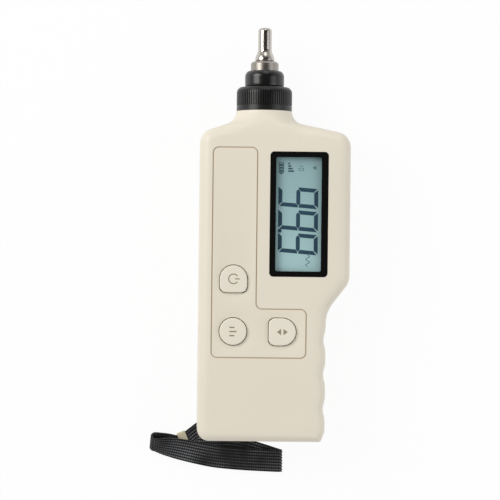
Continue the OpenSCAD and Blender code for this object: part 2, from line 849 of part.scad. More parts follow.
module battery() {
    color("#b9a04a") at_case() translate([bay_x, y_battery, z_battery + battery_t / 2])
        rotate([-90, 0, 0]) {
            linear_extrude(battery_l) round_rect(battery_w, battery_t, battery_round);
            for (s = [-1, 1]) translate([s * terminal_gap / 2, 0, battery_l])
                cylinder(h = terminal_l, r = terminal_r);
        }
}
module battery_snap() {
    color("#1c1c1e") at_case() translate([bay_x, y_snap, z_battery + battery_t / 2])
        rotate([-90, 0, 0]) difference() {
            linear_extrude(terminal_l + snap_t) round_rect(snap_w, snap_h, battery_round);
            for (s = [-1, 1]) translate([s * terminal_gap / 2, 0, -over])
                cylinder(h = terminal_l + over, r = terminal_r + fit);
        }
}

// A round lead along hand-set points; ref is a direction that the lead never takes
function lead_rings(path, r, sides, ref) = [
    for (i = [0:len(path) - 1])
        let (
            t = unit(path[min(i + 1, len(path) - 1)] - path[max(i - 1, 0)]),
            s = unit(cross(t, ref)),
            n = cross(s, t)
        )
        each [for (j = [0:sides - 1]) let (a = 360 * j / sides)
            path[i] + r * (cos(a) * s + sin(a) * n)]
];
module swept(points, sides, rings) {
    walls = [
        for (k = [0:rings - 2])
            for (i = [0:sides - 1])
                let (a = k * sides + i, b = k * sides + (i + 1) % sides)
                each [[a, b + sides, a + sides], [a, b, b + sides]]
    ];
    caps = [
        [for (i = [sides - 1:-1:0]) i],
        [for (i = [0:sides - 1]) (rings - 1) * sides + i]
    ];
    polyhedron(points = points, faces = concat(walls, caps), convexity = 8);
}
// Smooth curve through the points, with k steps from each to the next
function curve(p, k) = concat([
    for (i = [0:len(p) - 2])
        let (a = p[max(i - 1, 0)], b = p[i], c = p[i + 1], d = p[min(i + 2, len(p) - 1)])
        each [for (j = [0:k - 1]) let (t = j / k)
            (2 * b + (c - a) * t + (2 * a - 5 * b + 4 * c - d) * t * t
                + (3 * b - a - 3 * c + d) * t * t * t) / 2]
], [p[len(p) - 1]]);

lead_sides = 8;
lead_steps = 3;
lead_x = 5;
lead_r = 0.6;
lead_gap = 1.7;
lead_rise = 2;
lead_hole_rise = 2.9;
lead_hole_r = 1.9;
z_leads = z_battery + battery_t / 2 + lead_rise;
lead_shape = [
    [0, 0], [0.6, 0], [1.2, 0], [2.9, 2.1], [4.6, 3.9], [7, 4.6], [9.2, 5.2], [10, 6.2], [10, 7.2]
];
module battery_leads() {
    y0 = y_snap + terminal_l + snap_t;
    route = concat([for (q = lead_shape) [0, q.x, q.y]],
        [[0, lead_shape[len(lead_shape) - 1].x, z_board_low - run - z_leads]]);
    path = curve(route, lead_steps);
    color("#b3262b") at_case() for (s = [-1, 1])
        translate([bay_x + lead_x + s * lead_gap / 2, y0, z_leads])
            swept(lead_rings(path, lead_r, lead_sides, [1, 0, 0]), lead_sides, len(path));
}
cable_shape = [[1.5, 0], [-0.5, 0], [-3, 0.4], [-6, 1.7], [-8.5, 3.2], [-10.4, 4.4], [-11, 5.5], [-11, 6.3]];
module sensor_cable() {
    route = concat([for (q = cable_shape) [0, q.x, q.y]],
        [[0, cable_shape[len(cable_shape) - 1].x, z_board_low - run - half_t]]);
    path = curve(route, lead_steps);
    color("#2a2a2c") at_case() translate([x_a, y_base_flange - can_l, half_t])
        swept(lead_rings(path, cable_r, lead_sides, [1, 0, 0]), lead_sides, len(path));
}

// Collar nut: plain band, grooved wall, rounded shoulder and a lip over the housing
shoulder_steps = 5;
rib_shares = [[-0.3, 1], [0.3, 1], [0.45, 0], [0.55, 0]];
module collar_nut() {
    y_ribs = case_l + band_l + band_line;
    y_bend = y_nut - shoulder_l;
    color("#1d1e20") at_case() on_axis() difference() {
        intersection() {
            // Outer shape
            rotate_extrude() polygon(concat(
                [[0, case_l], [neck_r, case_l]],
                [for (i = [0:shoulder_steps]) let (a = 90 * i / shoulder_steps)
                    [between(shoulder_r, neck_r, cos(a)), y_bend + shoulder_l * sin(a)]],
                [[0, y_nut]]));
            union() {
                translate([0, 0, case_l]) cylinder(h = band_l, r = neck_r);
                translate([0, 0, case_l]) cylinder(h = nut_l, r = neck_r - rib_depth);
                translate([0, 0, y_ribs]) linear_extrude(nut_l) polygon([
                    for (i = [0:nut_ribs - 1])
                        for (e = rib_shares)
                            let (a = 360 * (i + e[0]) / nut_ribs, r = neck_r - rib_depth * (1 - e[1]))
                            [r * cos(a), r * sin(a)]
                ]);
            }
        }
        // Thread bore, and the hole that the housing comes through
        translate([0, 0, case_l - over])
            cylinder(h = nut_l - lip_t + over, r = spigot_r + thread_gap);
        translate([0, 0, case_l]) cylinder(h = nut_l + over, r = dome_r + thread_gap);
    }
}

module slip_ring() {
    color("#e9e7df") at_case()
        tube_on_axis(spigot_r, dome_r + thread_gap / 2, y_slip, y_slip + slip_t);
}

dome_steps = 6;
module sensor_housing() {
    color("#202123") at_case() on_axis() difference() {
        union() {
            rotate_extrude() polygon(concat(
                [[0, y_flange]],
                [[dome_r, y_flange]],
                [[dome_r, y_nut - run]],
                [for (i = [0:dome_steps]) let (a = 90 * i / dome_steps)
                    [between(dome_waist_r, dome_r, sin(a)), y_nut + dome_waist_l * (1 - cos(a))]],
                [for (i = [0:dome_steps]) let (a = 90 * i / dome_steps)
                    [between(dome_end_r, dome_r, cos(a)), y_dome - dome_end_l * (1 - sin(a))]],
                [[0, y_dome]]));
            translate([0, 0, y_flange]) cylinder(h = flange_t, r = flange_r);
            translate([0, 0, y_flange - skirt_l]) cylinder(h = skirt_l + over, r = skirt_r);
        }
        translate([0, 0, y_flange - skirt_l - over])
            cylinder(h = y_inside - y_flange + skirt_l + over, r = cavity_r);
        translate([0, 0, y_flange]) cylinder(h = total_l, r = base_r + fit);
    }
}

module gland_seal() {
    color("#333436") at_case() tube_on_axis(flange_r, skirt_r + fit, y_spigot, y_flange);
}

// Steel base: the collar that shows, the waist through the housing, flange and stud
module sensor_base() {
    color("#b9bcbf") at_case() on_axis() difference() {
        union() {
            translate([0, 0, y_dome]) cylinder(h = collar_l - collar_round, r = collar_r);
            translate([0, 0, y_collar - collar_round])
                cylinder(h = collar_round, r1 = collar_r, r2 = collar_r - collar_round);
            translate([0, 0, y_base_flange]) cylinder(h = y_dome - y_base_flange + over, r = base_r);
            translate([0, 0, y_base_flange]) cylinder(h = base_flange_t, r = base_flange_r);
            translate([0, 0, y_base_flange - stud_l]) cylinder(h = stud_l + over, r = stud_r);
        }
        translate([0, 0, y_collar - tip_hole_l]) cylinder(h = tip_hole_l + over, r = tip_stud_r + run);
    }
}
module isolation_ring() {
    color("#7a3b2e") at_case() tube_on_axis(base_flange_r, base_r + fit,
        y_inside - isolation_t, y_inside);
}
y_rings = y_base_flange - ring_gap;
module piezo_rings() {
    color("#cfc7a8") at_case() for (i = [1, 2]) {
        y1 = y_rings - (i - 1) * (ring_t + ring_gap);
        tube_on_axis(ring_r, stud_r + fit, y1 - ring_t, y1);
    }
}
y_mass = y_rings - 2 * (ring_t + ring_gap);
module seismic_mass() {
    color("#8b8f94") at_case() tube_on_axis(mass_r, stud_r + fit, y_mass - mass_l, y_mass);
}
module preload_nut() {
    color("#c9b26a") at_case() on_axis() translate([0, 0, y_mass - mass_l - preload_l])
        difference() {
            cylinder(h = preload_l, r = preload_r, $fn = 6);
            translate([0, 0, -over]) cylinder(h = preload_l + 2 * over, r = stud_r + run);
        }
}
module sensor_can() {
    color("#a9adb1") at_case() on_axis() translate([0, 0, y_base_flange - can_l]) difference() {
        cylinder(h = can_l, r = base_flange_r);
        translate([0, 0, can_end_t]) cylinder(h = can_l, r = base_flange_r - can_wall);
        translate([0, 0, -over]) cylinder(h = can_l, r = cable_hole_r);
    }
}

module tip_washer() {
    color("#8e9195") at_case() tube_on_axis(washer_r, tip_stud_r + fit, y_collar, y_tip);
}

tip_steps = 6;
module probe_tip() {
    color("#d5d8da") at_case() on_axis() {
        y_cone = y_tip + tip_foot_l;
        y_end = y_tip + tip_l;
        rotate_extrude() polygon(concat(
            [[0, y_tip], [tip_foot_r - tip_foot_l / 2, y_tip], [tip_foot_r, y_tip + tip_foot_l / 2]],
            [for (i = [0:tip_steps]) let (t = i / tip_steps)
                [between(tip_foot_r, tip_r, smooth_share(t)), y_cone + tip_cone_l * t]],
            [for (i = [0:tip_steps]) let (a = 90 * i / tip_steps)
                [tip_r - tip_round * (1 - cos(a)), y_end - tip_round * (1 - sin(a))]],
            [[0, y_end]]));
        translate([0, 0, y_tip - tip_stud_l]) cylinder(h = tip_stud_l + over, r = tip_stud_r);
    }
}

// Screws, heads down: cross recesses are left to the finish
module screw(r, l, head_r, head_t) {
    difference() {
        union() {
            cylinder(h = head_t, r = head_r);
            cylinder(h = head_t + l, r = r);
        }
        translate([0, 0, -over]) cylinder(h = over + drive_depth, r = drive_r, $fn = 4);
    }
}
module case_screws() {
    color("#9a9da0") at_case() for (p = case_bosses)
        translate([p.x, p.y, sink_depth - screw_head_t]) screw(screw_r, screw_l, screw_head_r, screw_head_t);
}
module board_screws() {
    color("#9a9da0") at_case() for (p = board_posts)
        translate([p.x, p.y, z_board_low - post_head_t])
            screw(post_screw_r, post_screw_l, post_head_r, post_head_t);
}

module strap_bar() {
    color("#a6a9ac") at_case() along_strap() translate([-bar_in, 0, z_bar]) rotate([90, 0, 0])
        cylinder(h = strap_w + 2 * (notch_side + bar_seat), r = bar_r, center = true);
}

// Sewn eye of webbing round the bar, with its double tongue
eye_share = [0.59, 0.79];
module strap_eye() {
    color("#17181a") at_case() along_strap() translate([-bar_in, strap_w / 2, z_bar])
        rotate([90, 0, 0]) linear_extrude(strap_w) difference() {
            union() {
                circle(eye_r);
                translate([0, run - eye_r]) square([eye_l, 2 * strap_t - run]);
                polygon([
                    [0, strap_t / 2 - eye_r], [eye_share.x * eye_r, eye_share.y * eye_r],
                    [eye_l / 2, 2 * strap_t - eye_r], [eye_l / 2, strap_t / 2 - eye_r]
                ]);
            }
            circle(bar_r + eye_gap);
        }
}

// Folded metal clip that clamps the tail where the loop begins
clip_at = [-38.9, -3.1];
clip_angle = 203;
clip_l = 3.8;
clip_wall = 0.38;
clip_gap = 0.2;
clip_z = 0.04;
module strap_clip() {
    w = strap_w + 3 * clip_gap;
    h = strap_t + 2 * clip_gap;
    color("#c9bf9f") at_case() translate([clip_at.x, clip_at.y, clip_z + clip_wall + h / 2])
        rotate(clip_angle) rotate([90, 0, 90]) translate([0, 0, -clip_l / 2])
            linear_extrude(clip_l) difference() {
                round_rect(w + 2 * clip_wall, h + 2 * clip_wall, 2 * clip_wall);
                round_rect(w, h, clip_wall);
            }
}

// Route of the strap: x, y from the bottom end of the case, z, and the direction of its
// width as a heading and a rise in degrees
strap_route = [
    [-28.08, 4.61, 0.65, 128, 0], [-31.2, 2.17, 0.65, 128, 0], [-35.1, -0.88, 0.95, 125, 0],
    [-36.87, -2.24, 1.17, 116, 0], [-38.9, -3.1, 1.17, 113, 0], [-40.93, -3.96, 1.17, 110, 0],
    [-42.5, -4.5, 1.17, 108, 0], [-44.7, -4.05, 1.8, 96, 9], [-48, -2.2, 3.3, 83, 34],
    [-51.6, -0.95, 4.3, 82, 51], [-53.3, -1, 4.7, 82, 53], [-54.1, -2, 5.5, 82, 53],
    [-53.4, -3.1, 6.3, 82, 53], [-51.8, -3.5, 6.5, 82, 51], [-48.5, -4, 6.4, 81, 38],
    [-45, -4.55, 6, 81, 27], [-40, -5.6, 5.2, 79, 14], [-33, -7.2, 4.2, 80, 7],
    [-25, -8.7, 3.3, 83, 3], [-15, -9.6, 2.7, 86, 0], [-5, -10.1, 2.6, 88, 0],
    [2.4, -10.3, 3.1, 90, 0], [3.9, -10.3, 2.7, 90, 0], [4.5, -10.3, 1.9, 90, 0],
    [3.9, -10.25, 1, 89, 0], [2.4, -10, 0.65, 86, 0], [-4, -8, 0.65, 76, 0],
    [-12, -5.8, 0.65, 76, 0], [-20, -4.8, 0.8, 83, 0], [-24.5, -4.8, 1.75, 88, 0],
    [-29, -4.7, 2.05, 88, 0], [-33.6, -4.5, 2.1, 88, 0]
];
strap_steps = 3;
strap_chamfer = 0.3;
strap_section = [for (q = [
    [1, -1, 0, 1], [1, 1, 0, -1], [1, 1, -1, 0], [-1, 1, 1, 0],
    [-1, 1, 0, -1], [-1, -1, 0, 1], [-1, -1, 1, 0], [1, -1, -1, 0]
]) [q[0] * strap_w / 2 + q[2] * strap_chamfer, q[1] * strap_t / 2 + q[3] * strap_chamfer]];
function strap_rings(p) = [
    for (i = [0:len(p) - 1])
        let (
            a = p[max(i - 1, 0)],
            b = p[min(i + 1, len(p) - 1)],
            t = unit([b[0] - a[0], b[1] - a[1], b[2] - a[2]]),
            w0 = [cos(p[i][4]) * cos(p[i][3]), cos(p[i][4]) * sin(p[i][3]), sin(p[i][4])],
            w = unit(w0 - (w0 * t) * t),
            n = cross(t, w)
        )
        each [for (q = strap_section) [p[i][0], p[i][1], p[i][2]] + q.x * w + q.y * n]
];
module wrist_strap() {
    path = curve(strap_route, strap_steps);
    color("#141517") at_case() swept(strap_rings(path), len(strap_section), len(path));
}

front_case();
rear_case();
battery_door();
door_pad();
display_window();
window_bezel();
measure_button();
mode_button();
range_button();
measure_pill();
mode_pill();
range_pill();
keypad_membrane();
main_board();
lcd_panel();
lcd_frame();
backlight();
zebra_strips();
integrated_circuits();
board_capacitors();
calibration_trimmers();
output_jack();
battery();
battery_snap();
battery_leads();
collar_nut();
slip_ring();
sensor_housing();
gland_seal();
sensor_base();
isolation_ring();
piezo_rings();
seismic_mass();
preload_nut();
sensor_can();
sensor_cable();
tip_washer();
probe_tip();
case_screws();
board_screws();
strap_bar();
strap_eye();
strap_clip();
wrist_strap();
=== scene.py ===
import math

import bmesh
import bpy
import numpy as np
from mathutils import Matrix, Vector


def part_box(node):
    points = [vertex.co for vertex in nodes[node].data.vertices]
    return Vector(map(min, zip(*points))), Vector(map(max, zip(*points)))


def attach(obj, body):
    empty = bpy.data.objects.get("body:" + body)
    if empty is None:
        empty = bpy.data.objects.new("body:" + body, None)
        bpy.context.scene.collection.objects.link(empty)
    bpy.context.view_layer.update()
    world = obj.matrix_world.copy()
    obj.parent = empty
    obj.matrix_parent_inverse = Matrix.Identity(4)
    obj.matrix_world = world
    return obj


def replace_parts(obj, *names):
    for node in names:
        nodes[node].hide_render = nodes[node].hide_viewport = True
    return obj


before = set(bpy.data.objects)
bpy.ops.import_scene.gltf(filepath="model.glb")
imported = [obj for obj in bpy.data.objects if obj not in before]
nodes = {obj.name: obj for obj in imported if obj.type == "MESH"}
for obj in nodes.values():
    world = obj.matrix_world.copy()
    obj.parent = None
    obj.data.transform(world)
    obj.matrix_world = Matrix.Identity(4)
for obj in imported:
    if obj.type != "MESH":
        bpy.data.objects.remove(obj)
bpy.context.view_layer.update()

mm = 0.001
halfLength = 91.5  # mm from the case's bottom end up to the origin
print("frame loaded:", len(nodes), "nodes")


# A new object from its data, at the origin and linked to the scene
def placed(name, data):
    thing = bpy.data.objects.new(name, data)
    bpy.context.scene.collection.objects.link(thing)
    return thing


# Camera: straight above the meter, turned a little as in the photograph; over and height in mm
viewer = {"over": (-10.72, -7.15), "height": 950.0, "lens": 151.6, "sensor": 36.0, "turn": 0.66,
          "near": 0.01, "far": 20.0}


def makeCamera(look):
    data = bpy.data.cameras.new("camera")
    data.lens = look["lens"]
    data.sensor_width = look["sensor"]
    data.clip_start, data.clip_end = look["near"], look["far"]
    camera = placed("camera", data)
    camera.location = [value * mm for value in (*look["over"], look["height"])]
    camera.rotation_euler = (0, 0, math.radians(look["turn"]))
    bpy.context.scene.camera = camera


makeCamera(viewer)


# Shader maths: an expression on wires adds its Math nodes
class Wire:
    def __init__(self, tree, socket):
        self.tree, self.socket = tree, socket

    def run(self, operation, *values, clamp=False):
        node = self.tree.nodes.new("ShaderNodeMath")
        node.operation, node.use_clamp = operation, clamp
        for target, value in zip(node.inputs, values):
            feed(self.tree, target, value)
        return Wire(self.tree, node.outputs[0])

    def __add__(self, other):
        return self.run("ADD", self, other)

    def __sub__(self, other):
        return self.run("SUBTRACT", self, other)

    def __rsub__(self, other):
        return self.run("SUBTRACT", other, self)

    def __mul__(self, other):
        return self.run("MULTIPLY", self, other)

    def __truediv__(self, other):
        return self.run("DIVIDE", self, other)

    def __gt__(self, other):
        return self.run("GREATER_THAN", self, other)

    def __lt__(self, other):
        return self.run("LESS_THAN", self, other)

    def __abs__(self):
        return self.run("ABSOLUTE", self)

    __radd__ = __add__
    __rmul__ = __mul__

    def clamped(self):
        return self.run("ADD", self, 0.0, clamp=True)

    def sine(self):
        return self.run("SINE", self)

    def least(self, other):
        return self.run("MINIMUM", self, other)

    def fract(self):
        return self.run("FRACT", self)


# A wire is linked to its target, and a plain value is set on it
def feed(tree, target, value):
    if isinstance(value, Wire):
        tree.links.new(value.socket, target)
    else:
        target.default_value = value


# One material: its nodes come from make(), and fixed values are set on the shader itself
class Finish:
    def __init__(self, name, **fixed):
        self.material = bpy.data.materials.new(name)
        self.material.use_nodes = True
        self.tree = self.material.node_tree
        self.shader = self.tree.nodes["Principled BSDF"]
        self.place = self.make("TexCoord", output="Object")
        self.set(**fixed)

    def make(self, kind, output=0, inputs=None, **settings):
        node = self.tree.nodes.new("ShaderNode" + kind)
        for key, value in settings.items():
            setattr(node, key, value)
        for key, value in (inputs or {}).items():
            feed(self.tree, node.inputs[key], value)
        return Wire(self.tree, node.outputs[output])

    def set(self, **values):
        for key, value in values.items():
            feed(self.tree, self.shader.inputs[key.replace("_", " ")], value)

    def axes(self, place=None):
        node = self.tree.nodes.new("ShaderNodeSeparateXYZ")
        feed(self.tree, node.inputs[0], place or self.place)
        return [Wire(self.tree, socket) for socket in node.outputs]

    # Noise by its scale in cells per metre, its detail and its roughness
    def noise(self, scale, detail=3.0, rough=0.55, place=None):
        return self.make("TexNoise", inputs={
            "Vector": place or self.place, "Scale": scale, "Detail": detail, "Roughness": rough})

    def blended(self, share, low, high):
        return self.make("Mix", output=2, data_type="RGBA", inputs={0: share, 6: low, 7: high})

    def ramp(self, share, stops):
        node = self.tree.nodes.new("ShaderNodeValToRGB")
        elements = node.color_ramp.elements
        while len(elements) < len(stops):
            elements.new(0.5)
        for element, (place, colour) in zip(elements, stops):
            element.position, element.color = place, colour
        feed(self.tree, node.inputs[0], share)
        return Wire(self.tree, node.outputs[0])

    def bumped(self, height, distance):
        self.set(Normal=self.make("Bump", inputs={"Height": height, "Strength": 1.0, "Distance": distance}))
        return self


# A colour written as it looks on the screen, 0 to 255, made linear
def rgb(red, green, blue):
    def linear(value):
        value = value / 255
        return value / 12.92 if value <= 0.04045 else ((value + 0.055) / 1.055) ** 2.4
    return (linear(red), linear(green), linear(blue), 1.0)


# A colour made darker or lighter by a share
def scaled(colour, share):
    return tuple(value * share for value in colour[:3]) + (1.0,)


# Moulded plastic: a fine sparked grain, slow changes of colour and small scuffs. The shade runs
# from 1 - mottle to 1 + mottle with the slow noise. Roughness is the plain one plus a share of
# each noise, less half of the first two shares
plastic = {"slow": (14.0, 2.0), "fine": (3200.0, 2.0), "scuff": (90.0, 5.0, 0.7), "scuffFrom": 0.62,
           "scuffGain": 3.0, "slowShare": 0.08, "fineShare": 0.06, "scuffShare": 0.1}


def mouldedPlastic(name, colour, roughness, grain=0.00002, mottle=0.05, **fixed):
    look = plastic
    finish = Finish(name, **fixed)
    slow, fine = finish.noise(*look["slow"]), finish.noise(*look["fine"])
    scuff = ((finish.noise(*look["scuff"]) - look["scuffFrom"]) * look["scuffGain"]).clamped()
    plain = roughness - (look["slowShare"] + look["fineShare"]) / 2
    rough = slow * look["slowShare"] + fine * look["fineShare"] + plain + scuff * look["scuffShare"]
    finish.set(
        Base_Color=finish.blended(slow, scaled(colour, 1 - mottle), scaled(colour, 1 + mottle)),
        Roughness=rough.clamped())
    return finish.bumped(fine, grain)


# The front's shell: as moulded plastic, with a darker brown in the line and the key gaps, which is painted
# shade with dust: it lies where the surface is between reach and the top height below the face, and inside a
# box of middle and half span
frontLook = {"colour": rgb(229, 221, 204), "dustAndShade": rgb(190, 170, 138), "dustAndShadeTop": 28.62, "reach": 24.0,
             "middle": (-6.6, -8.2), "span": (21.4, 46.6), "rough": 0.4, "patches": 60.0,
             "least": 0.7, "more": 0.3}


def frontPlastic(look):
    finish = mouldedPlastic("front_plastic", look["colour"], look["rough"])
    x, y, z = finish.axes()
    inside = (abs(x - look["middle"][0] * mm) < look["span"][0] * mm) * (
        abs(y - look["middle"][1] * mm) < look["span"][1] * mm)
    # The sunken line and key gaps, which take the painted shade and dust
    down = inside * (z < look["dustAndShadeTop"] * mm) * (z > look["reach"] * mm)
    plain = Wire(finish.tree, finish.shader.inputs["Base Color"].links[0].from_socket)
    # How much painted shade and dust, uneven by patches
    share = down * (finish.noise(look["patches"]) * look["more"] + look["least"])
    finish.set(Base_Color=finish.blended(share, plain, look["dustAndShade"]))
    return finish


# Turned steel: fine tool rings round the Y axis, as a sine of y plus noise that is drawn out
# round the axis, and a faint stain along it
turned = {"rings": 9000.0, "ringShare": 0.5, "grain": (700.0, 2.0), "drawn": (0.02, 1.0, 0.02),
          "grainShare": 0.8, "stain": (60.0, 3.0), "dark": 0.9, "toolRough": 0.07, "stainRough": 0.06,
          "less": 0.06}


def turnedSteel(name, colour, roughness, depth=0.000002):
    look = turned
    finish = Finish(name, Metallic=1.0)
    _, y, _ = finish.axes()
    drawn = finish.make("Mapping", inputs={"Vector": finish.place, "Scale": look["drawn"]})
    rings = (y * look["rings"]).sine() * look["ringShare"]
    tool = rings + finish.noise(*look["grain"], place=drawn) * look["grainShare"]
    stain = finish.noise(*look["stain"])
    rough = tool * look["toolRough"] + stain * look["stainRough"] + roughness - look["less"]
    finish.set(
        Base_Color=finish.blended(stain, scaled(colour, look["dark"]), colour),
        Roughness=rough.clamped())
    return finish.bumped(tool, depth)


# Finishes with one noise: it blends a darker and a lighter shade, adds its share to the
# roughness round the plain one, and lifts the surface by the bump, in metres
grains = {
    "metal": {"noise": (600.0, 4.0), "shades": (0.86, 1.0), "share": 0.14, "bump": 0.00001,
              "fixed": {"Metallic": 1.0}},
    "lacquer": {"noise": (900.0, 2.0), "tint": 120.0, "shades": (0.9, 1.0), "share": 0.1, "bump": 0.00001,
                "fixed": {"Coat_Weight": 0.35, "Coat_Roughness": 0.2}},
    "rubber": {"noise": (300.0, 5.0, 0.7), "shades": (0.85, 1.2), "share": 0.16, "bump": 0.00003,
               "fixed": {"Sheen_Weight": 0.1}},
    "ink": {"noise": (1800.0, 3.0), "shades": (0.85, 1.15), "share": 0.1, "bump": 0.000004, "fixed": {}},
    "gloss": {"noise": (350.0, 2.0), "shades": (0.8, 1.0), "share": 0.08, "bump": 0.000006,
              "fixed": {"Specular_IOR_Level": 0.25, "Coat_Weight": 0.12, "Coat_Roughness": 0.06}},
}


def grained(kind, name, colour, roughness, **fixed):
    look = grains[kind]
    finish = Finish(name, **look["fixed"], **fixed)
    noise = finish.noise(*look["noise"])
    tint = finish.noise(look["tint"]) if "tint" in look else noise
    dark, light = (scaled(colour, shade) for shade in look["shades"])
    finish.set(
        Base_Color=finish.blended(tint, dark, light),
        Roughness=(noise * look["share"] + (roughness - look["share"] / 2)).clamped())
    return finish.bumped(noise, look["bump"])


# Circuit board: green resist over copper runs that follow a grid. Each cell of a square
# pattern takes the runs across or the runs along
boardLook = {"resist": rgb(22, 92, 52), "copper": rgb(52, 132, 74), "pitch": 1.27, "run": 0.4,
             "cells": 160.0, "uneven": 0.4, "grain": 200.0, "rough": 0.28, "share": 0.1, "bump": 0.00003}


def circuitBoard(look):
    finish = Finish("circuit_board", Coat_Weight=0.3, Coat_Roughness=0.12)
    x, y, _ = finish.axes()
    cell = finish.make("TexVoronoi", output="Color", distance="CHEBYCHEV", inputs={
        "Vector": finish.place, "Scale": look["cells"], "Randomness": look["uneven"]})
    turn = finish.axes(cell)[0] > 0.5
    across, along = ((axis / (look["pitch"] * mm)).fract() < look["run"] for axis in (x, y))
    track = across * turn + along * (1.0 - turn)
    finish.set(
        Base_Color=finish.blended(track, look["resist"], look["copper"]),
        Roughness=finish.noise(look["grain"]) * look["share"] + look["rough"])
    return finish.bumped(track, look["bump"])


# Display: grey-teal reflector with painted shade, darker at the top and lighter at the bottom, and the faint
# painted shadow of its border. The shade is 1 at the limits in x and y and falls to 0 over its reach, in mm
screenLook = {"top": rgb(158, 192, 196), "middle": rgb(168, 204, 207), "bottom": rgb(184, 219, 222),
              "half": 0.45, "waver": 40.0, "waverShare": 0.04, "y": (-16.3, 33.8), "x": (0.4, 20.3),
              "shade": 0.1, "shadow": rgb(60, 84, 92), "reach": 0.8, "grain": 2500.0, "bump": 0.000002}


def displayGlass(look):
    finish = Finish("display_glass", Roughness=0.4, Specular_IOR_Level=0.3)
    x, y, _ = finish.axes()
    low, high = (value * mm for value in look["y"])
    left, right = (value * mm for value in look["x"])
    share = (y - low) / (high - low) + finish.noise(look["waver"]) * look["waverShare"]
    # Painted shade and light: the ramp runs from the lighter bottom to the darker top
    tone = finish.ramp(share.clamped(), [
        (0.0, look["bottom"]), (look["half"], look["middle"]), (1.0, look["top"])])
    edge = ((x - left).least(right - x) / (look["reach"] * mm)).clamped()
    ends = ((y - low).least(high - y) / (look["reach"] * mm)).clamped()
    shade = 1.0 - (edge * ends).clamped()
    # The border's painted shadow, blended over the tone
    finish.set(Base_Color=finish.blended(shade * look["shade"], tone, look["shadow"]))
    return finish.bumped(finish.noise(look["grain"]), look["bump"])


# Clear window: almost nothing but its gloss, with a faint smear in how far it shows
windowLook = {"tint": (0.02, 0.025, 0.025, 1.0), "smear": (45.0, 4.0, 0.65), "least": 0.04, "more": 0.03,
              "wave": 25.0, "bump": 0.000004}


def clearWindow(look):
    finish = Finish("clear_window", Roughness=0.03, IOR=1.49, Base_Color=look["tint"])
    finish.set(Alpha=finish.noise(*look["smear"]) * look["more"] + look["least"])
    return finish.bumped(finish.noise(look["wave"]), look["bump"])


# Ribbed webbing, in mm: its section and the size of its ribs and weave
web = {"width": 10.0, "thick": 1.1, "ribs": 7, "ribDepth": 0.4, "weaveDepth": 0.12, "weavePitch": 1.0,
       "perRib": 6, "rim": 5, "gap": 0.19, "edge": 0.42, "steps": 24, "pathStep": 4}
# The yarn's look: its black, and the light grey of its painted highlights
webLook = {"colour": rgb(13, 13, 14), "crestHighlight": rgb(150, 152, 156), "twist": 2.6, "wander": 1.5, "bead": 0.7,
           "fuzz": (2600.0, 4.0, 0.7), "patches": (75.0, 1.0), "patchGain": 3.0, "fuzzGain": 0.6, "less": 1.0,
           "lint": 0.03, "rough": 0.4, "roughFuzz": 0.2, "yarnShare": 0.6, "fuzzShare": 0.4, "bump": 0.00005}


# Black yarn with painted highlights, light grey, on its crests. A crest is 1 on the middle of a rib (across,
# in u) and fades to its grooves; along the band, in v, each pick of the weave cuts bead of it away. The
# painted highlight is the crest squared times a patchy noise
def webbingYarn(look, settings):
    finish = Finish("webbing_yarn", Sheen_Weight=0.04, Sheen_Roughness=0.4, Specular_IOR_Level=0.25)
    weave = finish.make("UVMap", uv_map="weave")
    across, along, _ = finish.axes(weave)
    flat = settings["width"] / 2 - settings["edge"]
    rib = (across + flat) / (2 * flat / settings["ribs"])
    inRib = abs(rib.fract() - 0.5) * 2.0
    inWeave = abs((along / settings["weavePitch"]).fract() - 0.5) * 2.0
    crest = (1.0 - inRib) * (1.0 - inWeave * look["bead"])
    yarn = finish.make("TexWave", wave_type="BANDS", bands_direction="DIAGONAL", inputs={
        "Vector": weave, "Scale": look["twist"], "Distortion": look["wander"], "Detail": 2.0})
    fuzz = finish.noise(*look["fuzz"])
    patches = finish.noise(*look["patches"]) * look["patchGain"] + fuzz * look["fuzzGain"] - look["less"]
    # Painted highlight on the crests, plus faint grey lint
    crestHighlight = (crest * crest * patches).clamped() + fuzz * look["lint"]
    finish.set(
        Base_Color=finish.blended(crestHighlight, look["colour"], look["crestHighlight"]),
        Roughness=fuzz * look["roughFuzz"] + look["rough"])
    return finish.bumped(yarn * look["yarnShare"] + fuzz * look["fuzzShare"], look["bump"])


steel = turnedSteel("turned_steel", rgb(168, 163, 155), 0.36, depth=0.000004)
finishes = {
    "front_case": frontPlastic(frontLook),
    "rear_case": mouldedPlastic("back_plastic", rgb(227, 219, 202), 0.42),
    "battery_door": mouldedPlastic("door_plastic", rgb(226, 217, 200), 0.42),
    "window_bezel": grained("gloss", "border_black", rgb(14, 15, 15), 0.2),
    "display_window": clearWindow(windowLook),
    "lcd_panel": displayGlass(screenLook),
    "collar_nut": mouldedPlastic("nut_black", rgb(24, 24, 24), 0.32, grain=0.000006, mottle=0.1,
                                 Specular_IOR_Level=0.5),
    "sensor_housing": mouldedPlastic("housing_black", rgb(20, 20, 20), 0.24, grain=0.000004, mottle=0.1,
                                     Specular_IOR_Level=0.6),
    "sensor_base": steel,
    "tip_washer": turnedSteel("washer_steel", rgb(140, 135, 128), 0.38),
    "probe_tip": turnedSteel("tip_steel", rgb(206, 200, 192), 0.2),
    "main_board": circuitBoard(boardLook),
    "preload_nut": grained("metal", "plain_brass", rgb(201, 178, 106), 0.3),
    "battery": grained("lacquer", "battery_jacket", rgb(176, 152, 74), 0.35),
    "strap_clip": grained("lacquer", "clip_lacquer", rgb(206, 198, 170), 0.4),
    "battery_leads": grained("ink", "lead_red", rgb(170, 36, 40), 0.4),
    "piezo_rings": grained("ink", "fired_ceramic", rgb(206, 199, 170), 0.55),
    "calibration_trimmers": mouldedPlastic("trimmer_blue", rgb(44, 92, 168), 0.35),
}
